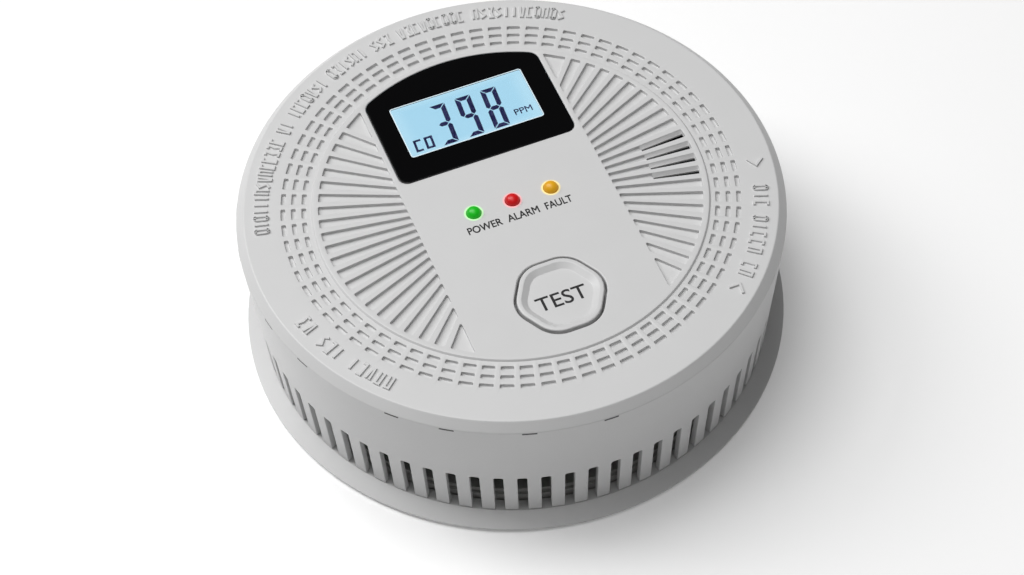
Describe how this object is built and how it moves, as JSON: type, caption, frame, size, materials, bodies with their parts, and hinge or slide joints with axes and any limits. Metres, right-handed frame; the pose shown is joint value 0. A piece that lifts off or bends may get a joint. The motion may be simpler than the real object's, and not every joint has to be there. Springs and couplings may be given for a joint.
{
  "type": "carbon monoxide detector",
  "caption": "Round battery carbon monoxide detector with a display, indicator lamps, test button, vented cover, battery door and a twist-off mounting bracket.",
  "frame": {"origin": "centre of the mounting bracket's wall face", "axes": "+Z out of the face, away from the wall; -Y towards the test button, +Y towards the display; +X to the right of the face"},
  "size_m": [0.1102, 0.1102, 0.0367],
  "materials": {
    "white_abs": "fine satin moulding",
    "white_abs_inner": "plain moulding",
    "window_acrylic": "polished, black printed border",
    "lcd_glass": "smooth, lit from behind",
    "light_guide": "clear moulded",
    "zebra_rubber": "layered silicone",
    "dark_plastic": "moulded",
    "green_lamp": "tinted epoxy",
    "red_lamp": "tinted epoxy",
    "amber_lamp": "tinted epoxy",
    "circuit_board": "solder mask over glass laminate",
    "capacitor_sleeve": "can with a dark mark",
    "sensor_plastic": "moulded",
    "brass": "rolled sheet",
    "contact_steel": "nickel plated",
    "cell_jacket": "printed film over a steel can",
    "screw_steel": "zinc plated"
  },
  "bodies": {
    "bracket": {"mounting_bracket": "white_abs"},
    "alarm": {"rear_housing": "white_abs_inner", "front_cover": "white_abs", "display_window": "window_acrylic", "lcd_glass": "lcd_glass", "lcd_frame": "dark_plastic", "backlight_panel": "light_guide", "lcd_contact_strips": "zebra_rubber", "tact_switch": "dark_plastic", "power_led": "green_lamp", "alarm_led": "red_lamp", "fault_led": "amber_lamp", "led_spacers": "dark_plastic", "main_board": "circuit_board", "microcontroller": "dark_plastic", "boost_coil": "dark_plastic", "capacitors": "capacitor_sleeve", "chip_resistors": "dark_plastic", "sensor_cell": "sensor_plastic", "sensor_cap": "dark_plastic", "sounder_cup": "sensor_plastic", "piezo_disc": "brass", "sounder_springs": "contact_steel", "battery_left": "cell_jacket", "battery_right": "cell_jacket", "bridge_contact": "contact_steel", "negative_contact": "contact_steel", "positive_contact": "contact_steel", "cover_screws": "screw_steel", "board_screws": "screw_steel"},
    "button": {"test_button": "white_abs"},
    "plunger": {"switch_plunger": "dark_plastic"},
    "door": {"battery_door": "white_abs_inner"}
  },
  "joints": [
    {"name": "twist_off", "type": "hinge", "parent": "bracket", "child": "alarm", "pos_m": [0, 0, 0.0035], "axis": [0, 0, 1], "range_deg": [0, 15]},
    {"name": "button_press", "type": "slide", "parent": "alarm", "child": "button", "axis": [0, 0, -1], "range_m": [0, 0.0006], "stiffness_N_per_m": 3000, "springref_m": -0.0001},
    {"name": "switch_press", "type": "slide", "parent": "alarm", "child": "plunger", "axis": [0, 0, -1], "range_m": [0, 0.0006], "stiffness_N_per_m": 300},
    {"name": "door_hinge", "type": "hinge", "parent": "alarm", "child": "door", "pos_m": [0, -0.032, 0.0039], "axis": [-1, 0, 0], "range_deg": [0, 90]}
  ],
  "couplings": [
    {"joint": "switch_press", "follows": "button_press", "ratio": 1}
  ]
}
